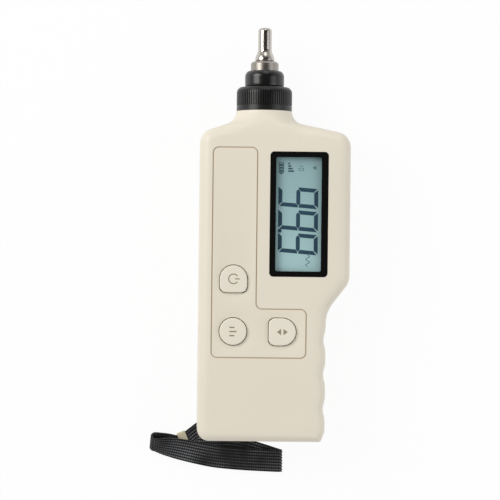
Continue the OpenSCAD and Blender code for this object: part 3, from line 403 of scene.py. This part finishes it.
shared = [
    (mouldedPlastic("key_plastic", rgb(231, 224, 208), 0.45, grain=0.00001),
     ["measure_button", "mode_button", "range_button"]),
    (mouldedPlastic("white_plastic", rgb(226, 227, 227), 0.5),
     ["lcd_frame", "backlight", "slip_ring", "isolation_ring"]),
    (mouldedPlastic("part_black", rgb(38, 39, 42), 0.5),
     ["integrated_circuits", "output_jack", "battery_snap", "sensor_cable"]),
    (grained("rubber", "black_rubber", rgb(44, 44, 46), 0.6),
     ["measure_pill", "mode_pill", "range_pill", "door_pad", "gland_seal"]),
    (grained("rubber", "grey_rubber", rgb(142, 146, 149), 0.6), ["keypad_membrane", "zebra_strips"]),
    (grained("metal", "plain_sheet", rgb(170, 172, 176), 0.35),
     ["sensor_can", "board_capacitors", "seismic_mass", "case_screws", "board_screws", "strap_bar"]),
]
for finish, names in shared:
    finishes.update({name: finish for name in names})
webbing = webbingYarn(webLook, web)
for name, node in nodes.items():
    finish = finishes.get(name, webbing)
    node.data.materials.clear()
    node.data.materials.append(finish.material)
print("materials made:", len(bpy.data.materials))


# A new piece from arrays of points and faces, smooth unless flat is asked for
def makePiece(name, points, faces, finish, body, smooth=True, uv=None):
    mesh = bpy.data.meshes.new(name)
    mesh.from_pydata([tuple(p) for p in points], [], [tuple(int(i) for i in f) for f in faces])
    mesh.polygons.foreach_set("use_smooth", np.full(len(mesh.polygons), smooth))
    if uv is not None:
        layer = mesh.uv_layers.new(name="weave")
        corner = np.empty(len(mesh.loops), np.int32)
        mesh.loops.foreach_get("vertex_index", corner)
        layer.data.foreach_set("uv", uv[corner].astype(np.float32).ravel())
    mesh.materials.append(finish.material)
    mesh.update()
    piece = placed(name, mesh)
    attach(piece, body)
    return piece


# A smooth curve through rows of numbers: each span is the cubic that passes its ends with
# the slope of their neighbours, sampled steps times
def throughPoints(rows, steps):
    rows = np.asarray(rows, float)
    padded = np.vstack([rows[:1], rows, rows[-1:]])
    a, b, c, d = (padded[k:len(rows) - 1 + k, None] for k in range(4))
    t = (np.arange(steps) / steps)[None, :, None]
    bend = (2 * a - 5 * b + 4 * c - d) * t ** 2 + (3 * b - a - 3 * c + d) * t ** 3
    spans = (2 * b + (c - a) * t + bend) / 2
    return np.vstack([spans.reshape(-1, rows.shape[1]), rows[-1:]])


# The same rows at even distances along their first three numbers, and those distances
def evenly(rows, gap):
    run = np.concatenate([[0], np.cumsum(np.linalg.norm(np.diff(rows[:, :3], axis=0), axis=1))])
    places = np.linspace(0, run[-1], max(2, int(round(run[-1] / gap)) + 1))
    return np.stack([np.interp(places, run, column) for column in rows.T], 1), places


# Each row divided by its length
def unitRows(v):
    return v / np.linalg.norm(v, axis=1, keepdims=True)


# Webbing carried along a path: the section is a flat band with half-round edges. On its two
# faces the surface sinks into the grooves between the ribs by a squared cosine across, and
# between the picks of the weave by a cosine along
def webbingBand(name, centre, across, body, settings, places):
    tangent = unitRows(np.gradient(centre, axis=0))
    across = unitRows(across - (across * tangent).sum(1, keepdims=True) * tangent)
    normal = np.cross(tangent, across)
    halfThick = settings["thick"] / 2
    flat = settings["width"] / 2 - settings["edge"]
    count, rim = settings["ribs"] * settings["perRib"], settings["rim"]
    top = np.linspace(flat, -flat, count)
    arc = np.radians(np.linspace(90, 270, rim + 2)[1:-1])
    leftX, leftY = -flat + settings["edge"] * np.cos(arc), halfThick * np.sin(arc)
    x = np.concatenate([top, leftX, -top, -leftX])
    y = np.concatenate([np.full(count, halfThick), leftY, np.full(count, -halfThick), -leftY])
    face = np.tile(np.concatenate([np.ones(count), np.zeros(rim)]), 2)
    ribPhase = (x + flat) / (2 * flat) * settings["ribs"]
    groove = (0.5 + 0.5 * np.cos(2 * math.pi * ribPhase)) * face
    weave = 0.5 + 0.5 * np.cos(2 * math.pi * places[:, None] / settings["weavePitch"])
    sink = settings["ribDepth"] * groove ** 2 + settings["weaveDepth"] * weave * face
    height = y - np.sign(y) * sink
    points = centre[:, None] + across[:, None] * x[:, None] + normal[:, None] * height[:, :, None]
    rings, sides = height.shape
    grid = np.arange(rings * sides).reshape(rings, sides)
    nextSide = np.roll(grid, -1, axis=1)
    quads = np.stack([grid[:-1], nextSide[:-1], nextSide[1:], grid[1:]], -1).reshape(-1, 4)
    ends = [list(grid[0][::-1]), list(grid[-1])]
    uv = np.stack(np.broadcast_arrays(x[None, :], places[:, None]), -1).reshape(-1, 2)
    return makePiece(name, points.reshape(-1, 3) * mm, [*quads, *ends], webbing, body, uv=uv)


# Route of the strap as in part.scad, in metres: x, y from the bottom end of the case, z,
# and the direction of its width as a heading and a rise in degrees
strapRoute = [
    (-0.02808, 0.00461, 0.00065, 128, 0), (-0.0312, 0.00217, 0.00065, 128, 0),
    (-0.0351, -0.00088, 0.00095, 125, 0), (-0.03687, -0.00224, 0.00117, 116, 0),
    (-0.0389, -0.0031, 0.00117, 113, 0), (-0.04093, -0.00396, 0.00117, 110, 0),
    (-0.0425, -0.0045, 0.00117, 108, 0), (-0.0447, -0.00405, 0.0018, 96, 9),
    (-0.048, -0.0022, 0.0033, 83, 34), (-0.0516, -0.00095, 0.0043, 82, 51),
    (-0.0533, -0.001, 0.0047, 82, 53), (-0.0541, -0.002, 0.0055, 82, 53),
    (-0.0534, -0.0031, 0.0063, 82, 53), (-0.0518, -0.0035, 0.0065, 82, 51),
    (-0.0485, -0.004, 0.0064, 81, 38), (-0.045, -0.00455, 0.006, 81, 27),
    (-0.04, -0.0056, 0.0052, 79, 14), (-0.033, -0.0072, 0.0042, 80, 7),
    (-0.025, -0.0087, 0.0033, 83, 3), (-0.015, -0.0096, 0.0027, 86, 0),
    (-0.005, -0.0101, 0.0026, 88, 0), (0.0024, -0.0103, 0.0031, 90, 0),
    (0.0039, -0.0103, 0.0027, 90, 0), (0.0045, -0.0103, 0.0019, 90, 0),
    (0.0039, -0.01025, 0.001, 89, 0), (0.0024, -0.01, 0.00065, 86, 0),
    (-0.004, -0.008, 0.00065, 76, 0), (-0.012, -0.0058, 0.00065, 76, 0),
    (-0.02, -0.0048, 0.0008, 83, 0), (-0.0245, -0.0048, 0.00175, 88, 0),
    (-0.029, -0.0047, 0.00205, 88, 0), (-0.0336, -0.0045, 0.0021, 88, 0),
]


# The strap: webbing along the smoothed route, whose width follows the heading and the rise
def wristStrap(route, settings):
    rows = throughPoints(route, settings["steps"])
    rows[:, :3] *= 1000
    rows[:, 1] -= halfLength
    rows, places = evenly(rows, settings["gap"])
    heading, rise = np.radians(rows[:, 3]), np.radians(rows[:, 4])
    across = np.stack([np.cos(rise) * np.cos(heading), np.cos(rise) * np.sin(heading), np.sin(rise)], 1)
    strap = webbingBand("strap_webbing", rows[:, :3], across, "case", settings, places)
    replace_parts(strap, "wrist_strap")
    return strap, rows[:, :3] * mm, places[-1] * mm


strap, strapPath, strapLength = wristStrap(strapRoute, web)
print("strap made:", round(strapLength, 4), "m")

# Eye of the strap round its bar, in mm: one tongue's layer goes out, round the bar and back,
# and the upper layer lifts a little where it leaves the bar
eye = {"mouth": (-30.4, 2.8), "angle": 218.0, "barIn": 7.3, "barZ": 2.35, "bend": 1.7, "tongue": 4.3,
       "round": (270, 30, 21), "layerGap": 0.02, "lift": 0.25, "near": 0.5, "far": 0.75, "steps": 12}


def strapEye(look, settings):
    turn = np.radians(np.linspace(*look["round"]))  # round the bar, from below to above
    tongue, low = look["tongue"], look["barZ"] - look["bend"]
    upper = low + settings["thick"] + look["layerGap"]
    path = [(tongue, low), (tongue * look["near"], low)]
    path += [(look["bend"] * math.cos(a), look["barZ"] + look["bend"] * math.sin(a)) for a in turn]
    path += [(tongue * look["near"], upper + look["lift"]), (tongue * look["far"], upper), (tongue, upper)]
    rows, places = evenly(throughPoints([(u, 0, z) for u, z in path], look["steps"]), settings["gap"])
    heading = math.radians(look["angle"])
    ahead = np.array([math.cos(heading), math.sin(heading), 0.0])
    side = np.array([-math.sin(heading), math.cos(heading), 0.0])
    bar = np.array([look["mouth"][0], look["mouth"][1] - halfLength, 0.0]) - ahead * look["barIn"]
    centre = bar + rows[:, :1] * ahead + rows[:, 2:] * np.array([0, 0, 1.0])
    piece = webbingBand("strap_loop", centre, np.tile(side, (len(centre), 1)), "case", settings, places)
    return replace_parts(piece, "strap_eye")


eyePiece = strapEye(eye, web)

# The neck's soft root. Both halves of the case are copied, cut into small cells round the neck
# and relaxed there. In mm: start and stop lie behind the nut's seat, reach counts sideways from
# the probe's axis and seam up and down from the parting, and each pair is where a fade begins
# or ends. Weld and snap are in metres
root = {"cell": 0.6, "start": (11.4, 9.2), "stop": (1.6, 0.2), "reach": (18.0, 25.0), "seam": (0.1, 1.0),
        "rounds": 260, "share": 0.5, "facing": -0.2, "sharp": 32.0, "weld": 1e-6, "snap": 1e-7}
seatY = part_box("collar_nut")[0].y / mm
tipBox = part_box("probe_tip")
axisX, axisZ = ((tipBox[0][k] + tipBox[1][k]) / 2 / mm for k in (0, 2))


# 0 before the first value, 1 after the second, with a smooth cubic between them
def eased(value, first, second):
    t = np.clip((value - first) / (second - first), 0, 1)
    return t * t * (3 - 2 * t)


# The copy's loose triangles are welded, then cut by three sets of planes, a cell apart
def cutCells(mesh, look):
    bm = bmesh.new()
    bm.from_mesh(mesh)
    bmesh.ops.remove_doubles(bm, verts=bm.verts, dist=look["weld"])
    reach, cell, start = look["reach"][1], look["cell"], look["start"][0]
    cuts = [((0, 1, 0), seatY - back) for back in np.arange(start, 0, -cell)]
    cuts += [((1, 0, 0), axisX + side) for side in np.arange(-reach, reach + cell, cell)]
    cuts += [((0, 0, 1), axisZ + side) for side in np.arange(-axisZ + cell / 2, axisZ, cell)]
    low = (seatY - start) * mm
    faces = [face for face in bm.faces if max(vert.co.y for vert in face.verts) > low]
    zone = [*faces, *{item for face in faces for item in (*face.verts, *face.edges)}]
    for way, place in cuts:
        cut = bmesh.ops.bisect_plane(bm, geom=zone, dist=look["snap"], plane_no=way,
                                     plane_co=[place * mm * part for part in way])
        zone = cut["geom"]
    bm.to_mesh(mesh)
    bm.free()


# Each point moves its free share of halfway to the mean of its neighbours, round after round.
# It is free where it faces outward from the probe's axis, between the fades
def relax(mesh, look):
    count = len(mesh.vertices)
    points, normals = np.empty(count * 3), np.empty(count * 3)
    pairs = np.empty(len(mesh.edges) * 2, np.int64)
    mesh.vertices.foreach_get("co", points)
    mesh.vertices.foreach_get("normal", normals)
    mesh.edges.foreach_get("vertices", pairs)
    points, normals, (a, b) = points.reshape(-1, 3) / mm, normals.reshape(-1, 3), pairs.reshape(-1, 2).T
    away = points[:, [0, 2]] - (axisX, axisZ)
    outer = (normals[:, [0, 2]] * away).sum(1) > look["facing"] * np.linalg.norm(away, axis=1)
    back = seatY - points[:, 1]
    free = outer * (1 - eased(back, *look["start"][::-1])) * eased(back, *look["stop"][::-1])
    free *= (1 - eased(abs(away[:, 0]), *look["reach"])) * eased(abs(away[:, 1]), *look["seam"])
    degree = np.bincount(pairs, minlength=count)
    for _ in range(look["rounds"]):
        mean = np.stack([np.bincount(a, p[b], count) + np.bincount(b, p[a], count) for p in points.T], 1)
        points += look["share"] * free[:, None] * (mean / degree[:, None] - points)
    mesh.vertices.foreach_set("co", (points * mm).ravel())
    mesh.update()


# The copy keeps its flat faces, apart from those of the zone, which are smooth. The stored
# normals fit only the uncut mesh, so they go
def softRoot(name, source, look):
    mesh = nodes[source].data.copy()
    mesh.name = name
    stored = mesh.attributes.get("custom_normal")
    if stored:
        mesh.attributes.remove(stored)
    cutCells(mesh, look)
    relax(mesh, look)
    count = len(mesh.polygons)
    smooth, middles = np.empty(count, bool), np.empty(count * 3)
    mesh.polygons.foreach_get("use_smooth", smooth)
    mesh.polygons.foreach_get("center", middles)
    mesh.polygons.foreach_set("use_smooth", smooth | (middles[1::3] / mm > seatY - look["start"][0]))
    mesh.set_sharp_from_angle(angle=math.radians(look["sharp"]))
    piece = placed(name, mesh)
    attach(piece, "case")
    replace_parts(piece, source)


softRoot("front_shell", "front_case", root)
softRoot("rear_shell", "rear_case", root)
print("neck softened")


# One segment in its digit's own frame, u across and v up: the outer ones are long trapezoids
# with mitred ends, the middle one a hexagon; the others follow by mirroring
def segmentOutline(letter, width, height, stroke, gap, cut):
    middle, reach = height / 2, stroke / 2
    if letter in "ad":
        points = [(cut, height), (width - cut, height), (width - stroke - gap / 2, height - stroke),
                  (stroke + gap / 2, height - stroke)]
    elif letter == "g":
        points = [(reach, middle), (stroke, middle + reach), (width - stroke, middle + reach),
                  (width - reach, middle), (width - stroke, middle - reach), (stroke, middle - reach)]
    else:
        points = [(0, height - cut), (stroke, height - stroke - gap), (stroke, middle + reach + gap),
                  (reach, middle + gap), (0, middle + gap)]
    points = np.array(points, float)
    if letter in "bc":
        points[:, 0] = width - points[:, 0]
    if letter in "cde":
        points[:, 1] = height - points[:, 1]
    return points


# Digits on the panel: v runs along +X and u along -Y, and the slant leans the tops onward
def digitOutlines(look):
    base, height = look["x"][0], look["x"][1] - look["x"][0]
    lit = {"0": "abcdef", "1": "bc", "9": "abcdfg"}
    outlines = []
    for start, figure in zip(look["starts"], look["text"]):
        for letter in lit[figure]:
            u, v = segmentOutline(letter, look["width"], height, look["stroke"], look["gap"], look["cut"]).T
            outlines.append(np.stack([base + v, start - u - (v - height / 2) * look["slant"]], 1))
    return outlines


# A rectangle's corners, anticlockwise
def rectangle(x0, x1, y0, y1):
    return np.array([(x0, y0), (x1, y0), (x1, y1), (x0, y1)])


# Points at even turns on an arc, which is a whole disc when it goes once round
def arcLine(x, y, radius, turns):
    angles = np.radians(turns)
    return np.stack([x + radius * np.cos(angles), y + radius * np.sin(angles)], 1)


# A stroke of even width along a line of points, as one quad for each step
def strokeOutlines(line, width):
    way = np.gradient(line, axis=0)
    side = unitRows(np.stack([-way[:, 1], way[:, 0]], 1)) * width / 2
    one, other = line + side, line - side
    return [np.array([one[i], one[i + 1], other[i + 1], other[i]]) for i in range(len(line) - 1)]


# Flat print: each outline, in mm, is turned anticlockwise and raised to a thin closed prism
def flatPrint(name, outlines, ink, body, look):
    points, faces = [], []
    for outline in outlines:
        x, y = outline.T
        if (x * np.roll(y, -1) - np.roll(x, -1) * y).sum() < 0:
            outline = outline[::-1]
        first, count = len(points), len(outline)
        low, high = first + np.arange(count), first + count + np.arange(count)
        points += [(*p, look["z"]) for p in outline] + [(*p, look["z"] + look["thick"]) for p in outline]
        walls = np.stack([low, np.roll(low, -1), np.roll(high, -1), high], 1)
        faces += [list(high), list(low[::-1]), *walls]
    makePiece(name, np.array(points) * mm, faces, ink, body, smooth=False)


# Print on the display; x in mm from the origin, y in mm from the bottom end of the case
panel = {"z": 26.27, "thick": 0.02, "gloss": 0.1, "rough": 0.6}
# Seven-segment digits: the reading runs down the screen, the tops point to the right
digits = {"text": "999", "x": (1.45, 18.95), "starts": (112.1, 102.0, 91.9), "width": 8.9, "slant": 0.08,
          "stroke": 1.75, "gap": 0.22, "cut": 0.5, "dot": (2.2, 92.95, 0.85), "dotTurns": 24}
# Small generic marks at the top and beside the digits
marks = {
    "battery": {"x": (1.5, 3.8), "y": (118.3, 122.9), "line": 0.34, "cap": (2.2, 3.1, 117.8, 118.25)},
    "charge": {"x": (2.0, 3.3), "y": (121.35, 122.25), "pitch": 1.25, "longer": 0.0, "count": 3},
    "level": {"x": (5.6, 6.4), "y": (122.1, 122.8), "pitch": 1.1, "longer": 0.6, "count": 4},
    "number": {"text": "10", "x": (10.2, 12.5), "starts": (122.6, 120.6), "width": 1.3, "slant": 0.08,
               "stroke": 0.3, "gap": 0.05, "cut": 0.1},
    "pointer": [(16.2, 120.7), (18.0, 119.7), (18.0, 121.7)],
    "wave": {"x": 14.6, "swing": 0.85, "y": 82.4, "length": 5.0, "waves": 2, "points": 25, "line": 0.36},
}


# A battery: two sides, two ends between them and a cap
def batteryMark(look):
    (x0, x1), (y0, y1), line = look["x"], look["y"], look["line"]
    return [rectangle(x0, x0 + line, y0, y1), rectangle(x1 - line, x1, y0, y1),
            rectangle(x0 + line, x1 - line, y1 - line, y1), rectangle(x0 + line, x1 - line, y0, y0 + line),
            rectangle(*look["cap"])]


# Bars one below the other, each longer than the last by the same step
def barMarks(look):
    (x0, x1), (y0, y1) = look["x"], look["y"]
    return [rectangle(x0, x1 + look["longer"] * i, y0 - look["pitch"] * i, y1 - look["pitch"] * i)
            for i in range(look["count"])]


# A sine in x along the way down
def waveMark(look):
    places = np.linspace(0, 1, look["points"])
    swing = look["swing"] * np.sin(places * 2 * math.pi * look["waves"])
    return strokeOutlines(np.stack([look["x"] + swing, look["y"] - look["length"] * places], 1), look["line"])


# Three pieces of print, moved from the case's bottom end to the origin: strong marks, faint
# marks, and the digits with their point
def displayPrint(look):
    strong = batteryMark(marks["battery"]) + barMarks(marks["charge"]) + barMarks(marks["level"])
    faint = [*digitOutlines(marks["number"]), np.array(marks["pointer"]), *waveMark(marks["wave"])]
    turns = np.arange(digits["dotTurns"]) * 360 / digits["dotTurns"]
    figures = [*digitOutlines(digits), arcLine(*digits["dot"], turns)]
    for name, outlines, ink, colour in (
            ("display_marks", strong, "ink_marks", rgb(66, 96, 108)),
            ("display_faint_marks", faint, "ink_faint_marks", rgb(104, 136, 142)),
            ("display_digits", figures, "digit_navy", rgb(52, 80, 98))):
        outlines = [outline - (0, halfLength) for outline in outlines]
        finish = grained("ink", ink, colour, look["rough"], Specular_IOR_Level=look["gloss"])
        flatPrint(name, outlines, finish, "case", look)


displayPrint(panel)
print("display made")

# Generic marks printed on the keys: a ring with a bar, three short lines, and two arrows
keyPrint = {"z": 30.0, "thick": 0.012, "colour": rgb(150, 138, 118), "rough": 0.55, "gloss": 0.2,
            "ring": {"radius": 2.1, "from": 35, "to": 325, "points": 33, "line": 0.5, "bar": (0.7, 2.7)},
            "lines": {"rows": (-1.8, 0.0, 1.8), "reach": 1.6, "line": 0.6, "shorter": 0.5},
            "arrows": {"gap": 0.5, "reach": 2.4, "half": 1.4}}


# An open ring, as a stroke along an arc, with a bar across its gap
def ringMark(x, y, look):
    turns, half = np.linspace(look["from"], look["to"], look["points"]), look["line"] / 2
    bar = rectangle(x + look["bar"][0], x + look["bar"][1], y - half, y + half)
    return [*strokeOutlines(arcLine(x, y, look["radius"], turns), look["line"]), bar]


# Bars one above the other, shorter at the right by a share of their distance from the middle
def linesMark(x, y, look):
    left, right, half = x - look["reach"], x + look["reach"], look["line"] / 2
    return [rectangle(left, right - abs(row) * look["shorter"], y + row - half, y + row + half)
            for row in look["rows"]]


# Two triangles on either side of the middle, which point away from it
def arrowsMark(x, y, look):
    return [np.array([(x + way * look["gap"], y - way * look["half"]), (x + way * look["reach"], y),
                      (x + way * look["gap"], y + way * look["half"])]) for way in (1, -1)]


# Each key's mark stands on the middle of its cap and rides with it
def keyMarks(look):
    for key, outlines, settings in (("measure", ringMark, "ring"), ("mode", linesMark, "lines"),
                                    ("range", arrowsMark, "arrows")):
        x, y, _ = sum(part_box(key + "_button"), Vector()) / 2 * 1000
        ink = grained("ink", "ink_" + key + "_mark", look["colour"], look["rough"],
                      Specular_IOR_Level=look["gloss"])
        flatPrint(key + "_mark", outlines(x, y, look[settings]), ink, key + "_key", look)


keyMarks(keyPrint)
print("key marks made")

# Stage, in metres: a wide pale floor, and a dark card over the camera, which only reflections
# see, as the dark middle of polished steel. The sky lights the object by its share of white
stage = {"floor": rgb(244, 244, 243), "rough": 0.8, "half": 3.0, "drop": 0.00002, "white": 0.93, "sky": 0.5}
card = {"half": 1.5, "height": 1.3, "colour": rgb(58, 50, 45), "rough": 1.0}
# Lamps: a soft key from the left and the top, a fill from the right and a weak one from behind
lamps = [
    {"name": "key", "at": (-0.9, 0.45, 0.85), "size": 0.8, "watts": 9.4, "colour": (1.0, 0.985, 0.965)},
    {"name": "fill", "at": (0.95, -0.25, 0.7), "size": 0.9, "watts": 3.6, "colour": (0.97, 0.985, 1.0)},
    {"name": "back", "at": (0.1, 1.0, 0.6), "size": 0.5, "watts": 1.2, "colour": (1.0, 1.0, 1.0)},
]


# A square sheet round the Z axis at one height, facing up or down
def stageSheet(name, half, height, finish, up):
    mesh = bpy.data.meshes.new(name)
    corners = [(-half, -half, 0), (half, -half, 0), (half, half, 0), (-half, half, 0)]
    mesh.from_pydata(corners, [], [(0, 1, 2, 3) if up else (3, 2, 1, 0)])
    mesh.materials.append(finish.material)
    sheet = placed(name, mesh)
    sheet.location.z = height
    return sheet


# The floor's paper, which the camera, gloss and glass see mostly as plain white
def makeFloor(look):
    finish = Finish("floor_paper", Base_Color=look["floor"], Roughness=look["rough"])
    path = finish.tree.nodes.new("ShaderNodeLightPath")
    seen = Wire(finish.tree, path.outputs["Is Camera Ray"]) + Wire(
        finish.tree, path.outputs["Is Glossy Ray"]) + Wire(finish.tree, path.outputs["Is Transmission Ray"])
    glow = finish.make("Emission", inputs={"Color": (1, 1, 1, 1), "Strength": 1.0})
    paper = Wire(finish.tree, finish.shader.outputs[0])
    mixed = finish.make("MixShader", inputs={0: seen.clamped() * look["white"], 1: paper, 2: glow})
    finish.tree.links.new(mixed.socket, finish.tree.nodes["Material Output"].inputs["Surface"])
    stageSheet("floor", look["half"], -look["drop"], finish, up=True)


# The card faces down, and only reflections see it
def makeCard(look):
    finish = Finish("card_black", Base_Color=look["colour"], Roughness=look["rough"])
    sheet = stageSheet("card", look["half"], look["height"], finish, up=False)
    sheet.visible_camera = sheet.visible_diffuse = sheet.visible_shadow = False


# Square area lamps that look at the origin
def makeLamps(rows):
    for row in rows:
        data = bpy.data.lights.new(row["name"], "AREA")
        data.energy, data.size, data.color = row["watts"], row["size"], row["colour"]
        lamp = placed(row["name"], data)
        lamp.location = row["at"]
        lamp.rotation_euler = (Vector((0, 0, 0)) - lamp.location).to_track_quat("-Z", "Y").to_euler()


# White where the camera sees it, and the sky's share of white as light
def makeSky(look):
    world = bpy.data.worlds.new("studio")
    world.use_nodes = True
    tree = world.node_tree
    sky = tree.nodes["Background"]
    sky.inputs["Color"].default_value = (1, 1, 1, 1)
    path = tree.nodes.new("ShaderNodeLightPath")
    seen = Wire(tree, path.outputs["Is Camera Ray"])
    feed(tree, sky.inputs["Strength"], seen * (1.0 - look["sky"]) + look["sky"])
    bpy.context.scene.world = world


makeFloor(stage)
makeCard(card)
makeLamps(lamps)
makeSky(stage)
bpy.context.scene.view_settings.view_transform = "Standard"
print("stage made")
